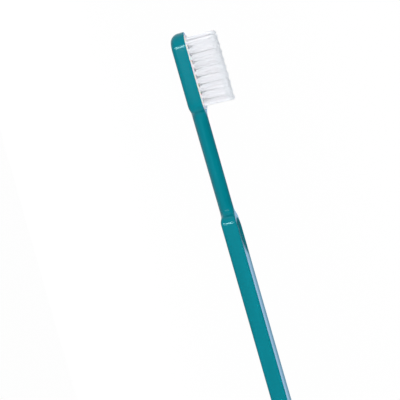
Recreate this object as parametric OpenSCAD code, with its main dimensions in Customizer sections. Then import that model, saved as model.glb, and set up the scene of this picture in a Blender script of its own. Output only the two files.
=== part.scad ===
// Manual toothbrush with a refill head. A one-piece moulded handle carries a frame at its
// tip, and a small plate with four lanes of bristle tufts presses into that frame.
// +X runs towards the head and +Z out of the bristles. The brush lies on its back at z = 0.

/* [Brush] */
// Length from the tip of the head to the end of the grip
brush_len = 190; // [175:1:205]

/* [Head frame] */
// Length of the frame that holds the refill plate
head_len = 29.6; // [28.6:0.2:32]
// Width of the frame
head_w = 11.3; // [11:0.1:12.6]
// Thickness of the frame
head_t = 5.3; // [4.9:0.1:6]
// Wall of the frame round the refill plate
frame_wall = 0.95; // [0.8:0.05:1.1]
// Floor of the frame under the refill plate
frame_floor = 1.6; // [1.2:0.1:2]
// Radius that rounds the back of the tip, seen from the side
nose_r = 3.2; // [1.5:0.1:4]
// Radius of the frame's two corners at the neck, seen from the front
frame_corner_r = 3.95; // [3.4:0.05:4.2]
// Radius along the back edges of the frame
frame_back_r = 1.3; // [0.6:0.1:2]
// Radius along the front edges of the frame
frame_front_r = 0.25; // [0.1:0.05:0.4]
// Length of the push-out window through the frame's floor
window_len = 9; // [6:0.5:14]
// Width of the push-out window
window_w = 3.2; // [2.4:0.1:5]

/* [Neck] */
// Distance from the frame to the full width of the grip
neck_len = 40.6; // [34:0.2:48]
// Diameter of the neck at the head
neck_head_d = 5.35; // [4.8:0.05:5.6]
// Diameter of the neck at the grip
neck_grip_d = 5.15; // [4.6:0.05:5.6]
// Radius of the fillets where the neck meets the head and the grip
neck_fillet_r = 2.5; // [1:0.1:3]

/* [Grip] */
// Width of the grip
grip_w = 12.2; // [11.4:0.1:14]
// Thickness of the grip
grip_t = 5.7; // [5.6:0.1:7.5]
// Radius of the grip's shoulders, seen from the front
shoulder_r = 3.4; // [2.6:0.1:4.6]
// Radius of the corners at the grip's end, seen from the front
grip_end_r = 5.4; // [2:0.1:5.6]
// Radius that rounds the grip's end, seen from the side
grip_end_edge_r = 1.7; // [0.6:0.1:2.4]
// Radius along the back edges of the grip
grip_back_r = 0.9; // [0.4:0.1:1.6]
// Radius along the front edges of the grip
grip_front_r = 0.4; // [0.2:0.05:0.7]
// Depth of the long groove down the front of the grip
groove_depth = 0.18; // [0.05:0.01:0.5]
// Flat rim left on each side of the groove and the thumb scoop
groove_rim = 0.75; // [0.75:0.05:1.5]
// Distance over which the groove fades out ahead of the grip's end
groove_fade = 14; // [8:1:30]

/* [Thumb scoop] */
// Depth of the scoop below the front of the grip
scoop_depth = 1.05; // [0.3:0.05:1.6]
// Length of the scoop
scoop_len = 14; // [10:0.5:24]
// How far the scoop starts ahead of the grip's full width
scoop_lead = 1.9; // [0.5:0.1:2.5]
// How far the scoop's start bows back from its middle to its sides
scoop_bow = 2; // [0.5:0.1:3]

/* [Refill plate] */
// Clearance between the plate and the frame, all round
plate_gap = 0.08; // [0.05:0.01:0.12]
// How far the plate stands above the front of the frame
plate_rise = 0.45; // [0.2:0.05:0.8]
// Chamfer round the plate's front edge
plate_chamfer = 0.2; // [0.05:0.05:0.2]
// Distance from the plate's ends to the middle of the nearest tufts
tuft_end_margin = 1.97; // [1.9:0.01:2.2]
// Distance from the plate's sides to the middle of the outer tufts
tuft_side_margin = 1.4; // [1.3:0.05:1.5]

/* [Tufts] */
// Number of tufts in each lane
lane_tufts = 9; // [7:1:9]
// Radius of the holes that the tufts are set in
hole_r = 0.95; // [0.85:0.01:0.98]
// Depth of the holes
hole_depth = 2.8; // [2.4:0.1:3.2]
// Length of the bristles above the plate
bristle_len = 10.5; // [8:0.1:12]
// Width of one strand where it leaves its hole
strand_base_w = 0.28; // [0.16:0.01:0.29]
// Width of one strand at its tip
strand_tip_w = 0.4; // [0.16:0.01:0.42]
// Free gap left between the tips of neighbouring tufts
tip_gap = 0.1; // [0.05:0.01:0.3]
// How much lower the outer tips of a tuft are than its inner tips
tip_dome = 0.25; // [0:0.05:0.6]
// Lean of the first tufts towards the neck, in degrees
tip_lean = 1; // [0:0.5:3]
// Lean of the last tufts towards the neck, in degrees
neck_lean = 3; // [0:0.5:5]

/* [Anchors] */
// Length of one anchor, which bites into both sides of its hole
anchor_len = 2.2; // [2.1:0.02:2.4]
// Thickness of one anchor
anchor_t = 0.25; // [0.2:0.01:0.3]
// Height of one anchor
anchor_h = 1.5; // [1:0.1:1.7]
// Thickness of the bristles folded under an anchor
fold_t = 0.45; // [0.3:0.05:0.6]

/* [Hidden] */
// Lanes of tufts, from the left edge of the plate to the right edge
LANES = ["left_outer", "left_inner", "right_inner", "right_outer"];

// Overrun of every cut past the face it opens
cut = 1;
// Material trimmed off the lofted grip, which leaves one true flat back
back_trim = 0.05;
// Width of the small flat at the very tip of the head and at the very end of the grip
end_flat_w = 1;
// Clearance between the root of a tuft and its hole
root_gap = 0.01;
// Depth to which the strands run down into the root of their tuft
strand_bury = 0.3;
// Gap left between the roots of the outer strands and the side of the hole
strand_inset = 0.11;

// Heights above the surface that the brush lies on
mid_z = max(grip_t, head_t) / 2;
frame_front_z = mid_z + head_t / 2;
frame_back_z = mid_z - head_t / 2;
seat_z = frame_back_z + frame_floor;
plate_top_z = frame_front_z + plate_rise;

// Landmarks of the handle, as distances s from the tip of the head
tip_r = head_w / 2;
corner_s = head_len - frame_corner_r;
corner_y = tip_r - frame_corner_r;
shoulder_s = head_len + neck_len;
shoulder_y = grip_w / 2 - shoulder_r;
end_s = brush_len - grip_end_r;
end_y = grip_w / 2 - grip_end_r;
scoop_s = shoulder_s - scoop_lead;

// Run of a fillet from a round corner's centre to the neck, and where the two touch
function fillet_run(r, y, neck_r) =
    sqrt(pow(r + neck_fillet_r, 2) - pow(neck_r + neck_fillet_r - y, 2));
function touch_run(r, y, neck_r) = fillet_run(r, y, neck_r) * r / (r + neck_fillet_r);
neck_start_s = corner_s + fillet_run(frame_corner_r, corner_y, neck_head_d / 2);
head_touch_s = corner_s + touch_run(frame_corner_r, corner_y, neck_head_d / 2);
neck_end_s = shoulder_s - fillet_run(shoulder_r, shoulder_y, neck_grip_d / 2);
grip_touch_s = shoulder_s - touch_run(shoulder_r, shoulder_y, neck_grip_d / 2);

// Helpers: a blend, a ramp from 0 to 1, an eased ramp, and the drop of a circle
function mix(a, b, t) = a + (b - a) * t;
function ramp(s, from, to) = min(1, max(0, (s - from) / (to - from)));
function ease(s, from, to) = let (t = ramp(s, from, to)) t * t * (3 - 2 * t);
function chord(r, d) = sqrt(max(0, r * r - d * d));
function xs(s) = brush_len / 2 - s;

// Half the width of the handle at s, made of straights, round corners and fillets
function outline_half_w(s) =
    s < tip_r ? chord(tip_r, tip_r - s) :
    s < corner_s ? tip_r :
    s < head_touch_s ? corner_y + chord(frame_corner_r, s - corner_s) :
    s < neck_start_s ? neck_head_d / 2 + neck_fillet_r - chord(neck_fillet_r, neck_start_s - s) :
    s < neck_end_s ? mix(neck_head_d, neck_grip_d, ramp(s, neck_start_s, neck_end_s)) / 2 :
    s < grip_touch_s ? neck_grip_d / 2 + neck_fillet_r - chord(neck_fillet_r, s - neck_end_s) :
    s < shoulder_s ? shoulder_y + chord(shoulder_r, shoulder_s - s) :
    s < end_s ? grip_w / 2 :
    end_y + chord(grip_end_r, s - end_s);
function half_w(s) = max(end_flat_w / 2, outline_half_w(s));

// Half the thickness at s, before the nose and the end are rounded
function half_t(s) =
    s < neck_start_s ? mix(head_t, neck_head_d, ease(s, corner_s, neck_start_s)) / 2 :
    s < neck_end_s ? mix(neck_head_d, neck_grip_d, ramp(s, neck_start_s, neck_end_s)) / 2 :
    mix(neck_grip_d, grip_t, ease(s, neck_end_s, shoulder_s)) / 2;
function top_z(s) = mid_z + half_t(s);
function bottom_z(s) = mid_z - half_t(s) - back_trim * ease(s, neck_end_s, shoulder_s);

// How far a point of the front or back lies in from the outline, and how far round the
// tip or the end it lies: 0 along the sides, 1 at the very tip and the very end
function inset(s, y) = max(0,
    s < tip_r ? tip_r - norm([tip_r - s, y]) :
    s < end_s ? half_w(s) - y :
    y > end_y ? grip_end_r - norm([s - end_s, y - end_y]) :
    brush_len - s);
function turn(s, y) =
    s < tip_r ? 1 - atan2(y, tip_r - s) / 90 :
    s < end_s ? 0 :
    atan2(s - end_s, max(0, y - end_y)) / 90;

// Drop of a rounded edge of radius r at a distance d in from the outline. The edges are
// small along the sides and swell round the tip's back and round the grip's end.
function edge_drop(r, d) = d < r ? r - chord(r, r - d) : 0;
function on_grip(s) = s > (neck_start_s + neck_end_s) / 2;
function front_r(s, y) = on_grip(s) ? mix(grip_front_r, grip_end_edge_r, turn(s, y)) : frame_front_r;
function back_r(s, y) =
    on_grip(s) ? mix(grip_back_r, grip_end_edge_r, turn(s, y)) : mix(frame_back_r, nose_r, turn(s, y));

// How round the section is at s: 1 on the neck, 0 on the head and the grip. The front
// keeps its flat face longer than the back does, where up runs from 0 at the back to 1.
function roundness(s, up) =
    on_grip(s)
        ? 1 - ease(s, mix(neck_end_s, neck_end_s - neck_fillet_r, up), mix(shoulder_s, grip_touch_s, up))
        : ease(s, mix(corner_s, head_touch_s, up), mix(neck_start_s, neck_start_s + neck_fillet_r, up));

// Depth of the groove and the thumb scoop at s, where v is -1 and 1 at their sides
scoop_rise_share = 0.6;
function scoop(t) = t <= 0 || t >= 1 ? 0 : sin(180 * pow(t, scoop_rise_share));
function dish(s, v) =
    let (
        fade_out = 1 - ease(s, brush_len - groove_fade, end_s),
        groove = groove_depth * ease(s, scoop_s, scoop_s + scoop_len) * fade_out,
        t = (s - scoop_s - scoop_bow * v * v) / scoop_len
    )
    (1 - v * v) * (groove + scoop_depth * scoop(t));

// One closed section of the handle at s, counter-clockwise seen from the head. A flat
// form with rounded edges and a dished front is blended with an ellipse, point by point,
// by how round the section is there.
rim_steps = 3;
front_steps = 8;
back_steps = 18;
rim_share = (grip_w / 2 - groove_rim) / (grip_w / 2 - grip_front_r);
function section(s) =
    let (
        w = half_w(s),
        top = top_z(s),
        bottom = bottom_z(s),
        rim_w = on_grip(s) ? grip_front_r : frame_front_r,
        rim = [for (i = [0:rim_steps - 1]) w - rim_w * (1 - cos(90 * i / rim_steps))],
        across = concat(
            [1],
            [for (i = [0:front_steps - 2]) rim_share * (1 - 2 * i / (front_steps - 2))],
            [-1]
        ) * (w - rim_w),
        front_y = concat(rim, across, [for (i = [rim_steps - 1:-1:0]) -rim[i]]),
        form = concat(
            [for (y = front_y)
                let (v = min(1, max(-1, y / (w - rim_w) / rim_share)))
                [y, top - dish(s, v) - edge_drop(front_r(s, abs(y)), inset(s, abs(y)))]],
            [for (i = [0:back_steps])
                let (y = w * cos(180 + 180 * i / back_steps))
                [y, bottom + edge_drop(back_r(s, abs(y)), inset(s, abs(y)))]]
        ),
        n = len(form),
        middle = (len(front_y) - 1) / 2
    )
    [for (i = [0:n - 1])
        let (a = 90 + 360 * (i - middle) / n, k = roundness(s, (1 + sin(a)) / 2))
        [
            xs(s),
            mix(form[i].x, w * cos(a), k),
            mix(form[i].y, (top + bottom) / 2 + (top - bottom) / 2 * sin(a), k)
        ]
    ];

// Stations along the handle. Arcs take theirs at even angles, so that they stay round.
arc_steps = 8;
scoop_steps = 14;
fade_steps = 4;
least_step = 0.04;
stations = spaced(sorted(concat(
    [for (i = [0:arc_steps + 2]) tip_r * (1 - cos(90 * i / (arc_steps + 2)))],
    [for (i = [0:arc_steps]) corner_s + (head_touch_s - corner_s) * sin(90 * i / arc_steps)],
    [for (i = [1:arc_steps]) mix(head_touch_s, neck_start_s + neck_fillet_r, i / arc_steps)],
    [for (i = [0:arc_steps - 2]) mix(neck_end_s - neck_fillet_r, grip_touch_s, i / (arc_steps - 1))],
    [for (i = [0:arc_steps + 2]) mix(grip_touch_s, shoulder_s, i / (arc_steps + 2))],
    [for (i = [0:scoop_steps]) scoop_s + scoop_len * pow(i / scoop_steps, 1 / scoop_rise_share)],
    [scoop_s + scoop_len + scoop_bow],
    [for (i = [0:fade_steps]) mix(brush_len - groove_fade, end_s, i / fade_steps)],
    [for (i = [1:arc_steps + 2]) mix(end_s, brush_len, sin(90 * i / (arc_steps + 2)))]
)));
function sorted(v) =
    len(v) < 2 ? v :
    let (pivot = v[floor(len(v) / 2)])
    concat(sorted([for (a = v) if (a < pivot) a]), [pivot], sorted([for (a = v) if (a > pivot) a]));
// Drops every station that lies within the least step of the one before it
function spaced(v) =
    [for (i = [0:len(v) - 1]) if (i == 0 || i == len(v) - 1 || (v[i] - v[i - 1] > least_step
        && v[len(v) - 1] - v[i] > least_step)) v[i]];

// Skin through a list of closed sections with equally many points. A fan of triangles
// round a middle point closes each end.
module loft(sections) {
    n = len(sections[0]);
    last = len(sections) - 1;
    first_middle = n * len(sections);
    polyhedron(
        points = concat(
            [for (ring = sections, p = ring) p],
            [for (ring = [sections[0], sections[last]]) [for (p = ring) 1] * ring / n]
        ),
        faces = concat(
            [for (i = [0:n - 1]) let (k = (i + 1) % n) [k, i, first_middle]],
            [for (i = [0:n - 1]) let (k = (i + 1) % n) [last * n + i, last * n + k, first_middle + 1]],
            [for (j = [0:last - 1], i = [0:n - 1]) let (a = j * n, b = a + n, k = (i + 1) % n)
                each [[a + i, a + k, b + k], [a + i, b + k, b + i]]]
        )
    );
}

// Outline of the frame's pocket, seen from the front. Like the refill plate, which fits it
// with a gap all round, it has a half round at the tip and two round corners at the neck.
pocket_tip_r = tip_r - frame_wall;
pocket_corner_r = frame_corner_r - frame_wall;
plate_tip_r = pocket_tip_r - plate_gap;
plate_corner_r = pocket_corner_r - plate_gap;
plate_tip_x = xs(tip_r);
plate_corner_x = xs(corner_s);
plate_h = plate_top_z - seat_z;
module pocket_outline() {
    translate([plate_tip_x, 0]) circle(r = pocket_tip_r, $fn = 96);
    for (side = [-1, 1]) {
        translate([plate_corner_x, side * corner_y]) circle(r = pocket_corner_r, $fn = 96);
    }
    translate([plate_corner_x, -pocket_tip_r]) square([plate_tip_x - plate_corner_x, 2 * pocket_tip_r]);
    translate([plate_corner_x - pocket_corner_r, -corner_y]) square([pocket_corner_r, 2 * corner_y]);
}

// Places of the tufts. The inner lanes sit a quarter pitch towards the tip and the outer
// lanes a quarter pitch towards the neck, so that neighbouring lanes are staggered.
plate_len = head_len - 2 * (frame_wall + plate_gap);
tuft_pitch = (plate_len - 2 * tuft_end_margin) / (lane_tufts - 1 / 2);
lane_step = (plate_tip_r - tuft_side_margin) / (3 / 2);
function is_outer(lane) = lane == 0 || lane == 3;
function tuft_y(lane) = (3 / 2 - lane) * lane_step;
function tuft_s(lane, k) =
    head_len / 2 + tuft_pitch * (k - (lane_tufts + 1) / 2 + (is_outer(lane) ? 1 : -1) / 4);
function tuft_name(lane, k) = str(LANES[lane], "_tuft_", k);
module at_tuft(lane, k) {
    translate([xs(tuft_s(lane, k)), tuft_y(lane), plate_top_z]) children();
}

// A metal strip that holds one tuft down, with the given height of free space above it
anchor_z = fold_t - hole_depth;
module anchor(h) {
    translate([-anchor_len / 2, -anchor_t / 2, anchor_z]) cube([anchor_len, anchor_t, h]);
}

// Strands of one tuft: a ring of nine round a ring of three. They leave the hole close
// together, spread out over the lower part and then rise nearly straight to the trim.
RING_COUNTS = [9, 3];
ring_share = 0.36;
spread_height_share = 0.42;
spread_reach_share = 0.9;
base_ring_r = hole_r - strand_inset - strand_base_w / 2;
tip_ring_x = (tuft_pitch - tip_gap - strand_tip_w) / 2;
tip_ring_y = (lane_step - tip_gap - strand_tip_w) / 2;
strand_levels = [
    [-strand_bury, 0, strand_base_w / 2],
    [bristle_len * spread_height_share, spread_reach_share, strand_tip_w / 2],
    [bristle_len, 1, strand_tip_w / 2]
];
function strand_corners(ring, i, lean) =
    let (a = 360 * i / RING_COUNTS[ring] + 180 * ring, reach = ring == 0 ? 1 : ring_share)
    [for (level = strand_levels)
        let (
            z = level[0] - (ring == 0 && level[0] == bristle_len ? tip_dome : 0),
            x = mix(base_ring_r, tip_ring_x, level[1]) * reach * cos(a) - z * tan(lean),
            y = mix(base_ring_r, tip_ring_y, level[1]) * reach * sin(a)
        )
        each [for (c = [[-1, -1], [1, -1], [1, 1], [-1, 1]]) [x + c.x * level[2], y + c.y * level[2], z]]
    ];
STRAND_FACES = concat(
    [[0, 1, 2], [0, 2, 3], [8, 10, 9], [8, 11, 10]],
    [for (j = [0, 4], i = [0:3]) let (k = (i + 1) % 4)
        each [[j + i, j + 4 + k, j + k], [j + i, j + 4 + i, j + 4 + k]]]
);
module strand(ring, i, lean) {
    polyhedron(points = strand_corners(ring, i, lean), faces = STRAND_FACES);
}

// Handle: head frame, round neck, shouldered grip with groove and scoop, in one moulding
module handle() {
    color("#00848f")
    difference() {
        loft([for (s = stations) section(s)]);
        translate([-brush_len, -grip_w, -grip_t]) cube([2 * brush_len, 2 * grip_w, grip_t]);
        translate([0, 0, seat_z]) linear_extrude(height = head_t) pocket_outline();
        translate([xs(head_len / 2), 0, -cut]) linear_extrude(height = head_t) push_window();
    }
}

// Slot with round ends, through which the plate is pushed out of its frame
module push_window() {
    run = window_len - window_w;
    square([run, window_w], center = true);
    for (side = [-1, 1]) {
        translate([side * run / 2, 0]) circle(d = window_w, $fn = 48);
    }
}

// Refill plate: a moulded block with a chamfered front edge, drilled for the tufts
module refill_plate() {
    color("#efe8ec")
    difference() {
        translate([0, 0, seat_z]) plate_block();
        for (lane = [0:3], k = [1:lane_tufts]) {
            at_tuft(lane, k) {
                translate([0, 0, -hole_depth]) cylinder(r = hole_r, h = hole_depth + cut, $fn = 48);
                anchor(hole_depth + cut);
            }
        }
    }
}

// The block before it is drilled. Its round parts are turned bodies and its straight parts
// are bars, all with the same chamfered side.
module plate_block() {
    translate([plate_tip_x, 0, 0]) plate_boss(plate_tip_r);
    for (side = [-1, 1]) {
        translate([plate_corner_x, side * corner_y, 0]) plate_boss(plate_corner_r);
    }
    translate([plate_corner_x, 0, 0]) rotate([90, 0, 90]) {
        linear_extrude(height = plate_tip_x - plate_corner_x) plate_bar_profile(plate_tip_r);
    }
    translate([plate_corner_x, corner_y, 0]) rotate([90, 0, 0]) {
        linear_extrude(height = 2 * corner_y) plate_bar_profile(plate_corner_r);
    }
}
function plate_side(r, out) =
    [[out * r, 0], [out * r, plate_h - plate_chamfer], [out * (r - plate_chamfer), plate_h]];
module plate_boss(r) {
    rotate_extrude($fn = 96) polygon(concat([[0, 0]], plate_side(r, 1), [[0, plate_h]]));
}
module plate_bar_profile(r) {
    polygon(concat(plate_side(r, 1), [for (i = [2:-1:0]) plate_side(r, -1)[i]]));
}

// Anchors: one strip of metal across the root of every tuft
module tuft_anchors() {
    color("#cbb98a")
    for (lane = [0:3], k = [1:lane_tufts]) {
        at_tuft(lane, k) anchor(anchor_h);
    }
}

// One tuft: strands fused to the root that fills its hole and wraps its anchor
module tuft(lane, k) {
    lean = mix(tip_lean, neck_lean, (k - 1) / (lane_tufts - 1));
    color("#eceef2")
    at_tuft(lane, k) {
        difference() {
            translate([0, 0, -hole_depth]) cylinder(r = hole_r - root_gap, h = hole_depth, $fn = 48);
            anchor(anchor_h);
        }
        for (ring = [0, 1], i = [0:RING_COUNTS[ring] - 1]) strand(ring, i, lean);
    }
}

handle();
refill_plate();
tuft_anchors();
for (lane = [0:3], k = [1:lane_tufts]) {
    tuft(lane, k);
}
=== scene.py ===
"""Manual toothbrush with a refill head: its finish, its bristles, and a plain white table.
The brush lies on its back, with +X towards the head and +Z out of the bristles."""

import bmesh
import bpy
import numpy as np
from mathutils import Matrix, Vector


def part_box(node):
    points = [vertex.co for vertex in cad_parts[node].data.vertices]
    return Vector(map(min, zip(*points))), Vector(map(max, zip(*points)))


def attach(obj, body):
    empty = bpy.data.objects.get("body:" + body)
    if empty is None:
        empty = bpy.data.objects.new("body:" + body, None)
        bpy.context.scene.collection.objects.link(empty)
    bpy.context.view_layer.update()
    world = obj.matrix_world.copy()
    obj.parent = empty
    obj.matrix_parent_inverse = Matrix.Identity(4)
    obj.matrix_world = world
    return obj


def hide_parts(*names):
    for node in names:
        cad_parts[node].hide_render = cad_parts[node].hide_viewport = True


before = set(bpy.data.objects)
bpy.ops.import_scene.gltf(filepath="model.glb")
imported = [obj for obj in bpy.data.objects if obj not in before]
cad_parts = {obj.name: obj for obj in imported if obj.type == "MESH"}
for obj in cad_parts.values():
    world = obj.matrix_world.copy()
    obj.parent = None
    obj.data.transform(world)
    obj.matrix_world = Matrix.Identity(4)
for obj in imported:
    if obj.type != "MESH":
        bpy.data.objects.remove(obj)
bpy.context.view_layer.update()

# Handle
# One injection moulding in glossy teal bioplastic: a frame for the refill plate at the tip, a
# round neck, and a flat grip with soft shoulders, a thumb scoop and a long shallow groove.
MM = 0.001  # sizes are in millimetres, and the scene is in metres
handle_low, handle_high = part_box("handle")
brush_len = (handle_high.x - handle_low.x) / MM
grip_w = (handle_high.y - handle_low.y) / MM
grip_t = handle_high.z / MM
head_len, head_w, head_t = 29.6, 11.3, 5.3
frame_wall, frame_floor, plate_gap = 0.95, 1.6, 0.08
nose_r, frame_corner_r, frame_back_r, frame_front_r = 3.2, 3.95, 1.3, 0.25
neck_len, neck_head_d, neck_grip_d, neck_fillet_r = 40.6, 5.35, 5.15, 2.5
shoulder_r, grip_end_r, grip_end_edge_r = 3.4, 5.4, 1.7
grip_back_r, grip_front_r = 0.9, 0.4
groove_depth, groove_rim, groove_fade = 0.18, 0.75, 14
scoop_depth, scoop_len, scoop_lead, scoop_bow, scoop_rise_share = 1.05, 14, 1.9, 2, 0.6

# Places along the brush, s, are counted from its tip, and places across it, y, from its middle
mid_z = grip_t / 2
tip_r = head_w / 2
corner_s = head_len - frame_corner_r
corner_y = tip_r - frame_corner_r
shoulder_s = head_len + neck_len
shoulder_y = grip_w / 2 - shoulder_r
end_s = brush_len - grip_end_r
end_y = grip_w / 2 - grip_end_r
scoop_s = shoulder_s - scoop_lead


def fillet_run(r, y, neck_r):
    """How far along the brush a round corner's centre is from the centre of the fillet that
    touches it and the neck. The two centres are both radii apart, and the rest is Pythagoras."""
    return np.sqrt((r + neck_fillet_r) ** 2 - (neck_r + neck_fillet_r - y) ** 2)


head_run = fillet_run(frame_corner_r, corner_y, neck_head_d / 2)
grip_run = fillet_run(shoulder_r, shoulder_y, neck_grip_d / 2)
neck_start_s = corner_s + head_run
neck_end_s = shoulder_s - grip_run
head_touch_s = corner_s + head_run * frame_corner_r / (frame_corner_r + neck_fillet_r)
grip_touch_s = shoulder_s - grip_run * shoulder_r / (shoulder_r + neck_fillet_r)
tiny = 1e-9  # stands in for a divisor of zero


def mix(a, b, t):
    """Blend from a to b."""
    return a + (b - a) * t


def ease(s, start, stop):
    """Smooth step from 0 at start to 1 at stop: 3t^2 - 2t^3."""
    t = np.clip((s - start) / (stop - start), 0, 1)
    return t * t * (3 - 2 * t)


def chord(r, d):
    """Half the chord of a circle of radius r at a distance d from its centre."""
    return np.sqrt(np.maximum(0, r * r - d * d))


def half_width(s):
    """Half the handle's width at s mm from the tip: straights, round corners and fillets."""
    t = np.clip((s - neck_start_s) / (neck_end_s - neck_start_s), 0, 1)
    neck_w = mix(neck_head_d, neck_grip_d, t) / 2
    return np.select(
        [s < tip_r, s < corner_s, s < head_touch_s, s < neck_start_s, s < neck_end_s,
         s < grip_touch_s, s < shoulder_s, s < end_s],
        [chord(tip_r, tip_r - s), tip_r, corner_y + chord(frame_corner_r, s - corner_s),
         neck_head_d / 2 + neck_fillet_r - chord(neck_fillet_r, neck_start_s - s), neck_w,
         neck_grip_d / 2 + neck_fillet_r - chord(neck_fillet_r, s - neck_end_s),
         shoulder_y + chord(shoulder_r, shoulder_s - s), grip_w / 2],
        end_y + chord(grip_end_r, s - end_s))


def inset_width(s, d):
    """Half the width of the handle's outline after it shrinks by d on all sides. Over the last
    d mm of the grip's end, which the shrinking leaves free, it closes evenly to nothing."""
    closing = np.where(d > 0, np.clip((brush_len - s) / np.maximum(d, tiny), 0, 1), 1)
    end = np.where(s < brush_len - d, end_y + chord(grip_end_r - d, s - end_s), end_y * closing)
    return np.select([s < tip_r, s < end_s], [chord(tip_r - d, tip_r - s), half_width(s) - d], end)


def inset(s, y):
    """Distance from a point of the front or back in to the outline."""
    end = np.where(y > end_y, grip_end_r - np.hypot(s - end_s, y - end_y), brush_len - s)
    tip = tip_r - np.hypot(tip_r - s, y)
    return np.maximum(0, np.select([s < tip_r, s < end_s], [tip, half_width(s) - y], end))


def turn(s, y):
    """How far round the tip or the end a point lies: 0 along the sides, 1 at the very tip."""
    tip = 1 - np.arctan2(y, np.maximum(tip_r - s, tiny)) / (np.pi / 2)
    end = np.arctan2(s - end_s, np.maximum(y - end_y, tiny)) / (np.pi / 2)
    return np.select([s < tip_r, s < end_s], [tip, 0], end)


def edge_drop(r, d):
    """Drop of a rounded edge of radius r at a distance d in from the outline."""
    return np.where(d < r, r - chord(r, r - d), 0)


def dish(s, v):
    """Depth of the groove and the thumb scoop, 1 - v^2 times their depths at s, where v runs from
    0 at the middle to 1 at the rims. The scoop's is the sine of pi * t^scoop_rise_share."""
    fade_out = 1 - ease(s, brush_len - groove_fade, end_s)
    groove = groove_depth * ease(s, scoop_s, scoop_s + scoop_len) * fade_out
    t = np.clip((s - scoop_s - scoop_bow * v * v) / scoop_len, 0, 1)
    return np.maximum(0, 1 - v * v) * (groove + scoop_depth * np.sin(np.pi * t ** scoop_rise_share))


# Points that half a ring has over each of its stretches, from the middle of the front to the
# middle of the back, and the most of the half width that the back's rounded edge takes
groove_points, rim_points, front_edge_points = 15, 4, 8
side_points, back_edge_points, back_points = 6, 15, 9
back_edge_share = 0.6
# Marks of an ellipse, in even steps from the middle of its front to the middle of its back, at
# which the groove, the rim, the front edge, the side and the whole back end
groove_mark, rim_mark, front_edge_mark, side_mark, back_mark = 3, 4, 7, 8, 17


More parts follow.
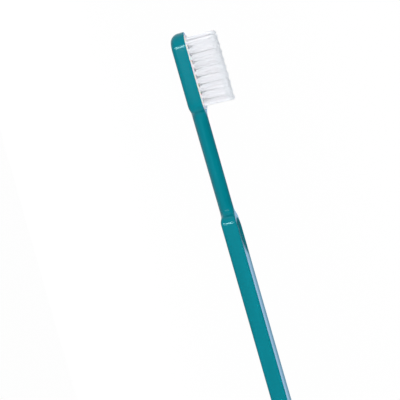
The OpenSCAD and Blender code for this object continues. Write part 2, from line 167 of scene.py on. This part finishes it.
def handle_rings(stations):
    """Rings of points round the handle, one for each station. Every ring runs from the middle of
    the front over the +Y side to the middle of the back, and its mirror image closes it. A point
    is flat form * (1 - r) + ellipse * r, where r is how round the handle is at the station."""
    rim_share = (grip_w / 2 - groove_rim) / (grip_w / 2 - grip_front_r)
    v_front = np.concatenate([np.linspace(0, rim_share, groove_points),
                              np.linspace(rim_share, 1, rim_points)[1:]])
    v_groove = (v_front / rim_share).clip(0, 1)
    front_turn = np.linspace(1, 0, front_edge_points)[1:]
    side = np.linspace(0, 1, side_points)[1:-1]
    back_turn = np.linspace(0, 1, back_edge_points)
    v_back = np.linspace(1, 0, back_points)[1:]

    s = stations[:, None]
    on_grip = s > (neck_start_s + neck_end_s) / 2
    front_edge_r = np.where(on_grip, grip_front_r, frame_front_r)
    # The front's points follow the bowed start of the scoop
    bow = scoop_bow * ease(s, grip_touch_s, scoop_s) * (1 - ease(s, scoop_s, scoop_s + scoop_len))
    s_front = s + bow * v_groove ** 2
    s_edge = s + bow * np.ones_like(front_turn)
    s_side = s + bow * (1 - side)
    s_back = s + 0 * np.concatenate([back_turn, v_back])

    y_front = v_front * inset_width(s_front, front_edge_r)
    y_edge = inset_width(s_edge, front_edge_r * (1 - np.cos(front_turn * np.pi / 2)))
    y_side = half_width(s_side)
    back_edge_w = np.where(on_grip, grip_end_edge_r, nose_r)
    back_edge_w = np.minimum(back_edge_w, back_edge_share * half_width(s))
    y_back_edge = inset_width(s, back_edge_w * (1 - np.cos(back_turn * np.pi / 2)))
    y_back = np.concatenate([y_back_edge, y_back_edge[:, -1:] * v_back], axis=1)

    half_t = np.select(
        [s < neck_start_s, s < neck_end_s],
        [mix(head_t, neck_head_d, ease(s, corner_s, neck_start_s)) / 2,
         mix(neck_head_d, neck_grip_d, (s - neck_start_s) / (neck_end_s - neck_start_s)) / 2],
        mix(neck_grip_d, grip_t, ease(s, neck_end_s, shoulder_s)) / 2)

    def front_height(s_at, y, v):
        """Height of the front: its flat, less the dish and the drop of the edge."""
        r = np.where(on_grip, mix(grip_front_r, grip_end_edge_r, turn(s_at, y)), frame_front_r)
        return mid_z + half_t - dish(s_at, v) - edge_drop(r, inset(s_at, y))

    def back_height(s_at, y):
        """Height of the back: its flat, and the rise of the edge."""
        r = np.where(on_grip, mix(grip_back_r, grip_end_edge_r, turn(s_at, y)),
                     mix(frame_back_r, nose_r, turn(s_at, y)))
        return mid_z - half_t + edge_drop(r, inset(s_at, y))

    z_front = front_height(s_front, y_front, v_groove)
    z_edge = front_height(s_edge, y_edge, 1)
    z_back = back_height(s_back, y_back)
    z_side = mix(z_edge[:, -1:], z_back[:, :1], side)

    # Each point's mark on the ellipse, and from it the point's angle
    past_groove = mix(groove_mark, rim_mark, (v_front - rim_share) / (1 - rim_share))
    front_marks = np.where(v_front < rim_share, groove_mark * v_front / rim_share, past_groove)
    edge_marks = mix(rim_mark, front_edge_mark, 1 - front_turn)
    side_marks = mix(front_edge_mark, side_mark, side)
    marks = np.concatenate([front_marks, edge_marks, side_marks])
    across = np.clip(y_back / np.maximum(half_width(s_back), tiny), 0, 1)
    back_marks = side_mark + (back_mark - side_mark) * np.arccos(across) / (np.pi / 2)
    marks = np.concatenate([marks + 0 * s, back_marks], axis=1)
    angle = np.pi / 2 - np.pi * marks / back_mark

    # The neck stays round further into the head and the grip over its back than over its front
    up = (1 + np.sin(angle)) / 2
    s_all = np.concatenate([s_front, s_edge, s_side, s_back], axis=1)
    fade_in = mix(neck_end_s, neck_end_s - neck_fillet_r, up)
    grip_round = 1 - ease(s_all, fade_in, mix(shoulder_s, grip_touch_s, up))
    fade_out = mix(neck_start_s, neck_start_s + neck_fillet_r, up)
    head_round = ease(s_all, mix(corner_s, head_touch_s, up), fade_out)
    roundness = np.where(on_grip, grip_round, head_round)
    y_flat = np.concatenate([y_front, y_edge, y_side, y_back], axis=1)
    z_flat = np.concatenate([z_front, z_edge, z_side, z_back], axis=1)
    y = mix(y_flat, half_width(s_all) * np.cos(angle), roundness)
    z = mix(z_flat, mid_z + half_t * np.sin(angle), roundness)
    half = np.stack([brush_len / 2 - s_all, y, z], axis=2)
    other = half[:, -2:0:-1] * [1, -1, 1]
    return np.concatenate([half, other], axis=1)


def crowded(start, stop, count, crowd_at):
    """Stations from start to stop that crowd at the one named, as the sines of even angles do."""
    t = np.linspace(0, np.pi / 2, count)
    return mix(start, stop, np.sin(t) if crowd_at == "stop" else 1 - np.cos(t))


stations = np.unique(np.round(np.concatenate([
    crowded(0, tip_r, 44, "start"),
    np.linspace(tip_r, corner_s, 12),
    crowded(corner_s, head_touch_s, 22, "stop"),
    np.linspace(head_touch_s, neck_start_s + neck_fillet_r, 24),
    np.linspace(neck_start_s + neck_fillet_r, neck_end_s - neck_fillet_r, 16),
    np.linspace(neck_end_s - neck_fillet_r, grip_touch_s, 24),
    np.linspace(grip_touch_s, scoop_s, 14),
    scoop_s + scoop_len * np.linspace(0, 1, 60) ** (1 / scoop_rise_share),
    np.linspace(scoop_s + scoop_len, brush_len - groove_fade, 36),
    np.linspace(brush_len - groove_fade, end_s, 16),
    crowded(end_s, brush_len, 44, "stop"),
]), decimals=4))

weld_gap, sliver_len = 0.002, 0.001


def shell(name, rings):
    """Closed skin through rings of equally many points, with the last and first ring capped."""
    count, n, _ = rings.shape
    row, col = np.meshgrid(np.arange(count - 1), np.arange(n), indexing="ij")
    a, b = row * n + col, row * n + (col + 1) % n
    quads = np.stack([a, b, b + n, a + n], axis=2).reshape(-1, 4)
    caps = [list(range(n))[::-1], list(range((count - 1) * n, count * n))]
    mesh = bpy.data.meshes.new(name)
    mesh.from_pydata((rings.reshape(-1, 3) * MM).tolist(), [], quads.tolist() + caps)
    work = bmesh.new()
    work.from_mesh(mesh)
    bmesh.ops.remove_doubles(work, verts=work.verts, dist=weld_gap * MM)
    bmesh.ops.dissolve_degenerate(work, edges=work.edges, dist=sliver_len * MM)
    bmesh.ops.recalc_face_normals(work, faces=work.faces)
    work.to_mesh(mesh)
    work.free()
    piece = bpy.data.objects.new(name, mesh)
    bpy.context.scene.collection.objects.link(piece)
    return piece


# The pocket leaves the plate a small gap all round. Its mouth has a small rounded lip, and so has
# the push-out window in its floor. The cutters reach past the surfaces that they open.
lip_r, lip_points = 0.12, 6
window_len, window_w = 9, 3.2
tip_points, corner_points, window_end_points = 49, 25, 25
outer_reach, pocket_reach = 1, 0.4
plate_tip_r = tip_r - frame_wall - plate_gap
plate_corner_r = frame_corner_r - frame_wall - plate_gap
plate_tip_x = brush_len / 2 - tip_r
plate_corner_x = brush_len / 2 - corner_s
frame_front_z = mid_z + head_t / 2
frame_back_z = mid_z - head_t / 2
seat_z = frame_back_z + frame_floor


def plate_outline(grow):
    """Outline of the refill plate grown by each of the given gaps: a half circle at the tip, a
    straight on each side and a quarter circle at each of the two corners towards the neck."""
    grow = np.asarray(grow, float)[:, None]
    tip = np.linspace(-np.pi / 2, np.pi / 2, tip_points)
    corner = np.linspace(np.pi / 2, np.pi, corner_points)
    tip_x = plate_tip_x + (plate_tip_r + grow) * np.cos(tip)
    tip_y = (plate_tip_r + grow) * np.sin(tip)
    corner_x = plate_corner_x + (plate_corner_r + grow) * np.cos(corner)
    corner_up = corner_y + (plate_corner_r + grow) * np.sin(corner)
    x = np.concatenate([tip_x, corner_x, corner_x[:, ::-1]], axis=1)
    y = np.concatenate([tip_y, corner_up, -corner_up[:, ::-1]], axis=1)
    return np.stack([x, y], axis=2)


def window_outline(grow):
    """Slot with half round ends, grown by each of the given amounts."""
    grow = np.asarray(grow, float)[:, None]
    angle = np.linspace(-np.pi / 2, np.pi / 2, window_end_points)
    run, r = (window_len - window_w) / 2, window_w / 2 + grow
    x = np.concatenate([run + r * np.cos(angle), -run - r * np.cos(angle)], axis=1)
    y = np.concatenate([r * np.sin(angle), -r * np.sin(angle)], axis=1)
    return np.stack([x + brush_len / 2 - head_len / 2, y], axis=2)


def raised(outlines, heights):
    """Outlines lifted to their heights."""
    z = np.broadcast_to(np.asarray(heights, float)[:, None, None], outlines.shape[:2] + (1,))
    return np.concatenate([outlines, z], axis=2)


def cut(piece, cutter):
    """Takes the cutter's space out of the piece for good."""
    step = piece.modifiers.new("cut", "BOOLEAN")
    step.object = cutter
    step.operation = "DIFFERENCE"
    step.solver = "EXACT"
    solved = piece.evaluated_get(bpy.context.evaluated_depsgraph_get())
    shaped = bpy.data.meshes.new_from_object(solved)
    piece.modifiers.clear()
    piece.data = shaped
    bpy.data.objects.remove(cutter)


handle = shell("handle_moulding", handle_rings(stations))
lip = np.linspace(0, np.pi / 2, lip_points)
pocket_grow = plate_gap + np.concatenate([[0], lip_r * (1 - np.cos(lip)), [lip_r]])
pocket_z = np.concatenate([
    [seat_z], frame_front_z - lip_r + lip_r * np.sin(lip), [frame_front_z + outer_reach]])
cut(handle, shell("pocket", raised(plate_outline(pocket_grow), pocket_z)))
window_grow = np.concatenate([[lip_r], lip_r * (1 - np.sin(lip)), [0]])
window_z = np.concatenate([
    [frame_back_z - outer_reach], frame_back_z + lip_r * (1 - np.cos(lip)),
    [seat_z + pocket_reach]])
cut(handle, shell("push_window", raised(window_outline(window_grow), window_z)))
crease_degrees = 38
handle.data.shade_smooth()
handle.data.set_sharp_from_angle(angle=np.radians(crease_degrees))


def linear(hex_colour):
    """An sRGB hex colour as the linear RGBA that shaders work in."""
    parts = np.array([int(hex_colour[i:i + 2], 16) for i in (1, 3, 5)]) / 255
    return (*np.where(parts <= 0.04045, parts / 12.92, ((parts + 0.055) / 1.055) ** 2.4), 1)


def per_metre(size):
    """Scale of a pattern whose features are of the given size in mm."""
    return 1 / (size * MM)


def add(tree, kind, settings=None, links=None):
    """Adds a node, gives it settings (attributes or input values) and links its inputs."""
    node = tree.nodes.new(kind)
    for key, value in (settings or {}).items():
        if isinstance(key, str) and hasattr(node, key):
            setattr(node, key, value)
        else:
            node.inputs[key].default_value = value
    for key, source in (links or {}).items():
        tree.links.new(source, node.inputs[key])
    return node


def new_material(name):
    """An empty node material and its tree."""
    material = bpy.data.materials.new(name)
    material.use_nodes = True
    material.node_tree.nodes.clear()
    return material, material.node_tree


# Glossy injection-moulded bioplastic, dyed through. The dye flows in faint long streaks along
# the handle, and the skin has a very shallow orange peel that makes the highlights swim a bit.
# The gloss takes on some of the dye's colour.
streak_len, streak_w = 25, 2.5
peel_w, peel_depth = 0.9, 0.01
noise_low, noise_high = 0.3, 0.7  # noise seldom goes past these
bioplastic, tree = new_material("teal_moulded_bioplastic")
coords = add(tree, "ShaderNodeTexCoord")
streak_place = add(tree, "ShaderNodeMapping", {
    "Scale": (per_metre(streak_len), per_metre(streak_w), per_metre(streak_w)),
}, {"Vector": coords.outputs["Object"]})
streaks = add(tree, "ShaderNodeTexNoise", {"Scale": 1, "Detail": 3}, {
    "Vector": streak_place.outputs[0]})
dye = add(tree, "ShaderNodeValToRGB", {}, {"Fac": streaks.outputs["Fac"]})
dye.color_ramp.elements[0].position = noise_low
dye.color_ramp.elements[1].position = noise_high
dye.color_ramp.elements[0].color = linear("#007682")
dye.color_ramp.elements[1].color = linear("#007c8a")
peel = add(tree, "ShaderNodeTexNoise", {"Scale": per_metre(peel_w), "Detail": 1}, {
    "Vector": coords.outputs["Object"]})
skin = add(tree, "ShaderNodeBump", {"Strength": 0.02, "Distance": peel_depth * MM}, {
    "Height": peel.outputs["Fac"]})
gloss = add(tree, "ShaderNodeMapRange", {"To Min": 0.11, "To Max": 0.15}, {
    "Value": peel.outputs["Fac"]})
plastic = add(tree, "ShaderNodeBsdfPrincipled", {
    "IOR": 1.42, "Specular Tint": linear("#6ce6ee"),
}, {"Base Color": dye.outputs["Color"], "Roughness": gloss.outputs[0], "Normal": skin.outputs[0]})
add(tree, "ShaderNodeOutputMaterial", links={"Surface": plastic.outputs[0]})
handle.data.materials.clear()
handle.data.materials.append(bioplastic)
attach(handle, "handle")
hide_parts("handle")

# Refill plate
# A small moulding in white plastic with a pink cast, pressed into the frame's pocket. It stands
# a little proud of the frame, has a chamfered edge and holds four lanes of nine blind holes.

# White plastic, moulded with a satin skin. Its white is a little cloudy, a fine grain dulls the
# gloss, and light goes a short way in, which softens the shade at its edge and round the holes.
cloud_w = 4
grain_w, grain_depth = 0.15, 0.01
white_plastic, tree = new_material("white_moulded_plastic")
coords = add(tree, "ShaderNodeTexCoord")
cloud = add(tree, "ShaderNodeTexNoise", {"Scale": per_metre(cloud_w), "Detail": 2}, {
    "Vector": coords.outputs["Object"]})
tone = add(tree, "ShaderNodeValToRGB", {}, {"Fac": cloud.outputs["Fac"]})
tone.color_ramp.elements[0].position = noise_low
tone.color_ramp.elements[1].position = noise_high
tone.color_ramp.elements[0].color = linear("#f3ecef")
tone.color_ramp.elements[1].color = linear("#f8f2f4")
grain = add(tree, "ShaderNodeTexNoise", {"Scale": per_metre(grain_w), "Detail": 2}, {
    "Vector": coords.outputs["Object"]})
skin = add(tree, "ShaderNodeBump", {"Strength": 0.1, "Distance": grain_depth * MM}, {
    "Height": grain.outputs["Fac"]})
plastic = add(tree, "ShaderNodeBsdfPrincipled", {
    "IOR": 1.49, "Roughness": 0.38, "Subsurface Weight": 0.4, "Subsurface Scale": MM,
}, {"Base Color": tone.outputs["Color"], "Normal": skin.outputs[0]})
add(tree, "ShaderNodeOutputMaterial", links={"Surface": plastic.outputs[0]})
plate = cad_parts["refill_plate"]
plate.data.materials.clear()
plate.data.materials.append(white_plastic)

# Anchors
# Strips of nickel silver, cut from drawn wire and driven across the root of each tuft. They are
# sunk in the plate's holes, between the filaments that they hold.

# Drawn nickel silver, a warm pale metal. The die leaves fine lines along it, here three to the
# centimetre of its length and nine to the millimetre across, that streak its shine.
draw_len, draw_w = 10 / 3, 1 / 9
nickel_silver, tree = new_material("drawn_nickel_silver")
coords = add(tree, "ShaderNodeTexCoord")
draw_place = add(tree, "ShaderNodeMapping", {
    "Scale": (per_metre(draw_len), per_metre(draw_w), per_metre(draw_w)),
}, {"Vector": coords.outputs["Object"]})
lines = add(tree, "ShaderNodeTexNoise", {"Scale": 1, "Detail": 2}, {
    "Vector": draw_place.outputs[0]})
tone = add(tree, "ShaderNodeValToRGB", {}, {"Fac": lines.outputs["Fac"]})
tone.color_ramp.elements[0].color = linear("#c9b98f")
tone.color_ramp.elements[1].color = linear("#ddd0ab")
gloss = add(tree, "ShaderNodeMapRange", {"To Min": 0.25, "To Max": 0.45}, {
    "Value": lines.outputs["Fac"]})
metal = add(tree, "ShaderNodeBsdfPrincipled", {"Metallic": 1}, {
    "Base Color": tone.outputs["Color"], "Roughness": gloss.outputs[0]})
add(tree, "ShaderNodeOutputMaterial", links={"Surface": metal.outputs[0]})
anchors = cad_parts["tuft_anchors"]
anchors.data.materials.clear()
anchors.data.materials.append(nickel_silver)

# Tufts
# Nylon filaments, folded in two round an anchor at the bottom of each hole. They fill the hole,
# spread out above the plate until neighbouring tufts meet, and are trimmed flat and end-rounded.
plate_top_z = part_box("refill_plate")[1].z / MM
bristle_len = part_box("left_outer_tuft_1")[1].z / MM - plate_top_z
lanes = ["left_outer", "left_inner", "right_inner", "right_outer"]
mid_lane = (len(lanes) - 1) / 2
lane_tufts, lane_shift = 9, 0.25  # the outer and inner lanes shift apart by this much of a pitch
plate_len = head_len - 2 * (frame_wall + plate_gap)
tuft_end_margin, tuft_side_margin = 1.97, 1.4
tuft_pitch = (plate_len - 2 * tuft_end_margin) / (lane_tufts - 1 + 2 * lane_shift)
lane_step = (plate_tip_r - tuft_side_margin) / mid_lane
hole_r, hole_depth, fold_t = 0.95, 2.8, 0.45
anchor_t, anchor_top, anchor_hold = 0.25, -0.85, 0.1
filament_r, filament_sides = 0.085, 5
filament_step = 2.1 * filament_r
hole_room = hole_r - filament_r
first_row_y = anchor_t / 2 + filament_r
tip_h = 0.6 * filament_r
tip_dome, tip_lean, neck_lean = 0.5, 1, 3
end_fan, trim_rows, row_shift = 0.72, 4, 0.25
# The most that a tuft and a filament are cut short, and how far a tip strays to the side
tuft_short, filament_short, tip_stray = 0.06, 0.05, 0.02
# Shares of its height at which a filament has a point, and how far it has gone there on its way
# from its place in the hole to its place at the trim
rise = np.array([0, 0.08, 0.18, 0.3, 0.5, 0.75, 1])
spread = np.array([0, 0.64, 0.89, 0.935, 0.95, 0.965, 0.985])
# A filament grows a little above the plate, so that fewer of them fill the field: shares of the
# way from tip to tip, and its thickness there
swell_at = [0, 0.2, 0.35, 0.65, 0.8, 1]
swell = [1.35, 1.25, 1, 1, 1.25, 1.35]


def filament_feet():
    """Places of the filaments on one side of their anchor: a hexagonal grid in a half disc."""
    y = np.arange(0, hole_r, filament_step * np.sqrt(3) / 2)[:, None] + first_row_y
    odd_row = np.arange(len(y))[:, None] % 2
    half_row = int(hole_r / filament_step) + 1
    x = np.arange(-half_row, half_row + 1) * filament_step + odd_row * filament_step / 2
    grid = np.stack(np.broadcast_arrays(x, y), axis=2).reshape(-1, 2)
    return grid[np.hypot(grid[:, 0], grid[:, 1]) < hole_room]


def trim_places(feet):
    """Places of the same filaments at the trim, in shares of half a tuft's length and width. They
    stand in staggered rows and keep their order, so that the field is evenly full there."""
    rank = np.argsort(np.lexsort(feet.T))
    row = rank * trim_rows // len(feet)
    in_row = np.argsort(np.lexsort([feet[:, 0], row]))
    count = np.bincount(row)
    place = in_row - (np.cumsum(count) - count)[row]
    along = (place + 0.5 + np.where(row % 2, row_shift, -row_shift)) / count[row]
    return np.stack([2 * along - 1, (row + 0.5) / trim_rows], axis=1)


def tuft_points(lean, fan, rng):
    """Centre lines of one tuft's filaments, from one tip down round the anchor and up again to
    the other tip, as an array of filaments by points by three. Above the plate a point is mouth
    + (tip - mouth) * spread, and leans towards the neck by its height times tan(lean). At the
    trim the tuft reaches fan[0] towards the neck and fan[1] towards the tip."""
    feet = filament_feet()
    trim = bristle_len - tip_h - rng.uniform(0, tuft_short)
    # Above the anchor the two halves close up and fill the whole hole
    close_up = (feet[:, 1] - first_row_y) * hole_room / (hole_room - first_row_y)
    closed = np.stack([feet[:, 0], close_up + filament_r], axis=1)
    # At the trim the round tuft has become a rectangle that meets its neighbours
    share = trim_places(feet)
    reach = np.where(share[:, 0] < 0, fan[0], fan[1])
    full = share * np.stack([reach, np.full_like(reach, lane_step / 2)], axis=1)

    def leg(side):
        """The filaments on one side of the anchor, from the fold up to the tips."""
        tip = full * [1, side] + rng.normal(0, tip_stray, full.shape)
        mouth = closed * [1, side]
        foot = feet * [1, side]
        height = trim - tip_dome * share[:, 0] ** 2 - rng.uniform(0, filament_short, len(feet))
        xy = mouth[:, None] + (tip - mouth)[:, None] * spread[None, :, None]
        z = rise * height[:, None]
        above = np.concatenate([xy, z[:, :, None]], axis=2)
        above[:, :, 0] -= z * np.tan(np.radians(lean))
        depths = [fold_t / 2 - hole_depth, anchor_top - anchor_hold]
        depth = np.broadcast_to(depths, (len(feet), 2))
        below = np.concatenate([np.stack([foot, foot], axis=1), depth[:, :, None]], axis=2)
        return np.concatenate([below, above], axis=1)

    return np.concatenate([leg(1)[:, ::-1], leg(-1)], axis=1)


def tubes(paths):
    """Thin closed tubes along the paths. Each point of a path carries a ring of points, path +
    r * (side * cos a + other * sin a), and one more point past each end rounds the tip."""
    count, n, _ = paths.shape
    along = np.gradient(paths, axis=1)
    along /= np.linalg.norm(along, axis=2, keepdims=True)
    side = np.cross(along, [1, 0, 0])
    side /= np.linalg.norm(side, axis=2, keepdims=True)
    other = np.cross(along, side)
    angle = 2 * np.pi * np.arange(filament_sides) / filament_sides
    ring = side[:, :, None] * np.cos(angle)[:, None] + other[:, :, None] * np.sin(angle)[:, None]
    r = filament_r * np.interp(np.linspace(0, 1, n), swell_at, swell)
    points = paths[:, :, None] + ring * r[None, :, None, None]
    outwards = np.array([-1, 1])[None, :, None]
    ends = paths[:, [0, -1]] + along[:, [0, -1]] * outwards * tip_h
    per = n * filament_sides
    verts = np.concatenate([points.reshape(count, per, 3), ends], axis=1)
    row, col = np.meshgrid(np.arange(n - 1), np.arange(filament_sides), indexing="ij")
    a, b = row * filament_sides + col, row * filament_sides + (col + 1) % filament_sides
    skin = np.stack([a, b, b + filament_sides, a + filament_sides], axis=2).reshape(-1, 4)
    k = np.arange(filament_sides)
    start = np.stack([np.roll(k, -1), k, np.full_like(k, per)], axis=1)
    stop = np.stack([k, np.roll(k, -1), np.full_like(k, per + 1)], axis=1)
    stop[:, :2] += per - filament_sides
    base = np.arange(count)[:, None, None] * (per + 2)
    quads = (skin + base).reshape(-1, 4)
    tips = (np.concatenate([start, stop]) + base).reshape(-1, 3)
    return verts.reshape(-1, 3), quads.tolist() + tips.tolist()


# Extruded nylon, milky and a little shiny. Each filament takes a slightly different tone, and
# light goes on through the thin strands, so that the tuft glows evenly and only its root is grey.
glow_share = 0.05
nylon, tree = new_material("milky_nylon_filament")
tint = add(tree, "ShaderNodeAttribute", {"attribute_name": "strand_tone"})
tone = add(tree, "ShaderNodeValToRGB", {}, {"Fac": tint.outputs["Fac"]})
tone.color_ramp.elements[0].color = linear("#f2f5f9")
tone.color_ramp.elements[1].color = linear("#f9fcff")
body = add(tree, "ShaderNodeBsdfPrincipled", {"IOR": 1.53, "Roughness": 0.4}, {
    "Base Color": tone.outputs["Color"]})
glow = add(tree, "ShaderNodeBsdfTranslucent", {}, {"Color": tone.outputs["Color"]})
both = add(tree, "ShaderNodeMixShader", {0: glow_share}, {1: body.outputs[0], 2: glow.outputs[0]})
add(tree, "ShaderNodeOutputMaterial", links={"Surface": both.outputs[0]})

rng = np.random.default_rng(seed=7)
tufts = []
for lane, lane_name in enumerate(lanes):
    stagger = lane_shift if "outer" in lane_name else -lane_shift
    for k in range(1, lane_tufts + 1):
        s = head_len / 2 + tuft_pitch * (k - (lane_tufts + 1) / 2 + stagger)
        root = np.array([brush_len / 2 - s, (mid_lane - lane) * lane_step, plate_top_z])
        fan = [end_fan if k == last else tuft_pitch / 2 for last in (lane_tufts, 1)]
        lean = mix(tip_lean, neck_lean, (k - 1) / (lane_tufts - 1))
        paths = root + tuft_points(lean, fan, rng)
        verts, faces = tubes(paths)
        mesh = bpy.data.meshes.new(f"{lane_name}_filaments_{k}")
        mesh.from_pydata((verts * MM).tolist(), [], faces)
        mesh.shade_smooth()
        strand_tone = mesh.attributes.new("strand_tone", "FLOAT", "POINT")
        tones = np.repeat(rng.uniform(0, 1, len(paths)), len(verts) // len(paths))
        strand_tone.data.foreach_set("value", tones.astype(np.float32))
        mesh.materials.append(nylon)
        tuft = bpy.data.objects.new(mesh.name, mesh)
        bpy.context.scene.collection.objects.link(tuft)
        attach(tuft, "refill")
        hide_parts(f"{lane_name}_tuft_{k}")
        tufts.append(tuft)

# Table
# A plain surface of matt white laminate, wide enough to fill the view from any side. The brush
# lies on it on its back.
table_r, table_sides = 7.0, 64
angle = np.linspace(0, 2 * np.pi, table_sides, endpoint=False)
mesh = bpy.data.meshes.new("table")
ring = np.stack([np.cos(angle), np.sin(angle), 0 * angle], axis=1) * table_r
mesh.from_pydata(ring.tolist(), [], [list(range(table_sides))])
table = bpy.data.objects.new("table", mesh)
bpy.context.scene.collection.objects.link(table)

# Matt laminate that lights its surroundings as a pale grey, but shows as almost bare white to the
# camera and in gloss and glass. The small rest of the grey keeps a faint soft shadow.
bare_share = 0.98
white_table, tree = new_material("matt_white_laminate")
rays = add(tree, "ShaderNodeLightPath")
seen = add(tree, "ShaderNodeMath", {"operation": "MAXIMUM"}, {
    0: rays.outputs["Is Camera Ray"], 1: rays.outputs["Is Glossy Ray"]})
seen = add(tree, "ShaderNodeMath", {"operation": "MAXIMUM"}, {
    0: seen.outputs[0], 1: rays.outputs["Is Transmission Ray"]})
share = add(tree, "ShaderNodeMath", {"operation": "MULTIPLY", 1: bare_share}, {
    0: seen.outputs[0]})
matt = add(tree, "ShaderNodeBsdfDiffuse", {"Color": linear("#f4f4f4")})
bare = add(tree, "ShaderNodeEmission", {"Color": linear("#ffffff"), "Strength": 1})
both = add(tree, "ShaderNodeMixShader", {}, {
    0: share.outputs[0], 1: matt.outputs[0], 2: bare.outputs[0]})
add(tree, "ShaderNodeOutputMaterial", links={"Surface": both.outputs[0]})
mesh.materials.append(white_table)

# Light
# A dim room that is brighter on the camera's side, by the square of how far +Y a direction
# points, and nearly dark behind the brush, over a low pale blue wall that the grip's front
# mirrors as two bands. Four soft lamps light the brush, and a fifth gives it its highlights.
room_glow, front_glow, behind_loss, wall_glow = 0.2, 0.15, 0.14, 1.15
# A direction's Y where the dark behind starts and is full, and its Z where the wall fades and ends
behind_from_y, behind_full_y = -0.3, -0.7
wall_full_z, wall_top_z = 0.12, 0.4
world = bpy.data.worlds.new("studio_room")
bpy.context.scene.world = world
world.use_nodes = True
tree = world.node_tree
tree.nodes.clear()
coords = add(tree, "ShaderNodeTexCoord")
direction = add(tree, "ShaderNodeSeparateXYZ", {}, {0: coords.outputs["Generated"]})
ahead = add(tree, "ShaderNodeMath", {"operation": "MAXIMUM", 1: 0}, {0: direction.outputs["Y"]})
ahead = add(tree, "ShaderNodeMath", {"operation": "POWER", 1: 2}, {0: ahead.outputs[0]})
glow = add(tree, "ShaderNodeMath", {"operation": "MULTIPLY_ADD", 1: front_glow, 2: room_glow}, {
    0: ahead.outputs[0]})
behind = add(tree, "ShaderNodeMapRange", {"From Min": behind_from_y, "From Max": behind_full_y}, {
    0: direction.outputs["Y"]})
glow = add(tree, "ShaderNodeMath", {"operation": "MULTIPLY_ADD", 1: -behind_loss}, {
    0: behind.outputs[0], 2: glow.outputs[0]})
low = add(tree, "ShaderNodeMapRange", {
    "From Min": wall_full_z, "From Max": wall_top_z, "To Min": wall_glow, "To Max": 0,
}, {0: direction.outputs["Z"]})
wall_light = add(tree, "ShaderNodeMath", {"operation": "MULTIPLY"}, {
    0: low.outputs[0], 1: behind.outputs[0]})
room = add(tree, "ShaderNodeBackground", {"Color": linear("#f8faff")}, {
    "Strength": glow.outputs[0]})
wall = add(tree, "ShaderNodeBackground", {"Color": linear("#bcdbff")}, {
    "Strength": wall_light.outputs[0]})
both = add(tree, "ShaderNodeAddShader", {}, {0: room.outputs[0], 1: wall.outputs[0]})
add(tree, "ShaderNodeOutputWorld", links={"Surface": both.outputs[0]})

head_middle = Vector((0.05, 0, 0.003))


def soft_box(name, azimuth, elevation, distance, size, watts, colour="#ffffff"):
    """A rectangular lamp that faces the head from a distance in metres. Azimuth turns from +Y
    towards +X, and elevation is up from the table, both in degrees."""
    a, e = np.radians(azimuth), np.radians(elevation)
    away = Vector((np.sin(a) * np.cos(e), np.cos(a) * np.cos(e), np.sin(e)))
    lamp = bpy.data.lights.new(name, "AREA")
    lamp.shape, lamp.size, lamp.size_y = "RECTANGLE", size[0], size[1]
    lamp.energy, lamp.color = watts, linear(colour)[:3]
    box = bpy.data.objects.new(name, lamp)
    box.location = head_middle + away * distance
    box.rotation_euler = away.to_track_quat("Z", "Y").to_euler()
    bpy.context.scene.collection.objects.link(box)
    return box


# A soft lamp on each side lights the brush, and doesn't show in its gloss
for box in (
    soft_box("front_box", azimuth=2, elevation=9, distance=0.45, size=(0.11, 0.11), watts=1.45),
    soft_box("rear_box", azimuth=180, elevation=40, distance=1.2, size=(0.6, 0.6), watts=7.5),
    soft_box("tip_box", azimuth=90, elevation=20, distance=1.2, size=(0.6, 0.6), watts=3),
    soft_box("grip_box", azimuth=270, elevation=20, distance=1.2, size=(0.6, 0.6), watts=2.2),
):
    box.visible_glossy = False

# A lamp set low and wide gives only the highlights on the tip and the shoulder. It is warm, which
# evens out the tint of the gloss, and the table doesn't stand in its way.
glint_box = soft_box("glint_box", azimuth=15, elevation=-7, distance=2.0, size=(0.66, 0.26),
                     watts=27, colour="#ff9691")
glint_box.visible_diffuse = False
glint_box.data.cycles.use_multiple_importance_sampling = False
blockers = bpy.data.collections.new("lamp_blockers")
for piece in [handle, plate, *tufts]:
    blockers.objects.link(piece)
glint_box.light_linking.blocker_collection = blockers

# Camera
# It looks at the brush's left side from 7 degrees above the table, a long way off, and is rolled
# so that the brush leans 16 degrees from upright in the picture.
elevation = np.radians(7)
lean_across, lean_up = 0.2756, 0.9613
picture_mm, distance = 142, 2.5
aim_along, aim_behind = 36.0, 8.17
lean = np.arctan2(lean_across, lean_up)
away = Vector((0, np.cos(elevation), np.sin(elevation)))
out = Vector((0, -np.sin(elevation), np.cos(elevation)))
along = Vector((1, 0, 0))
right = out * np.cos(lean) - along * np.sin(lean)
up = out * np.sin(lean) + along * np.cos(lean)
aim = along * aim_along * MM + Vector((0, 0, mid_z * MM)) - out * aim_behind * MM
lens = bpy.data.cameras.new("camera")
lens.sensor_width = 36
lens.lens = lens.sensor_width * distance / (picture_mm * MM)
lens.clip_end = 30
camera = bpy.data.objects.new("camera", lens)
turned = Matrix((right, up, away)).transposed().to_4x4()
camera.matrix_world = Matrix.Translation(aim + away * distance) @ turned
bpy.context.scene.collection.objects.link(camera)
bpy.context.scene.camera = camera
bpy.context.scene.view_settings.view_transform = "Standard"
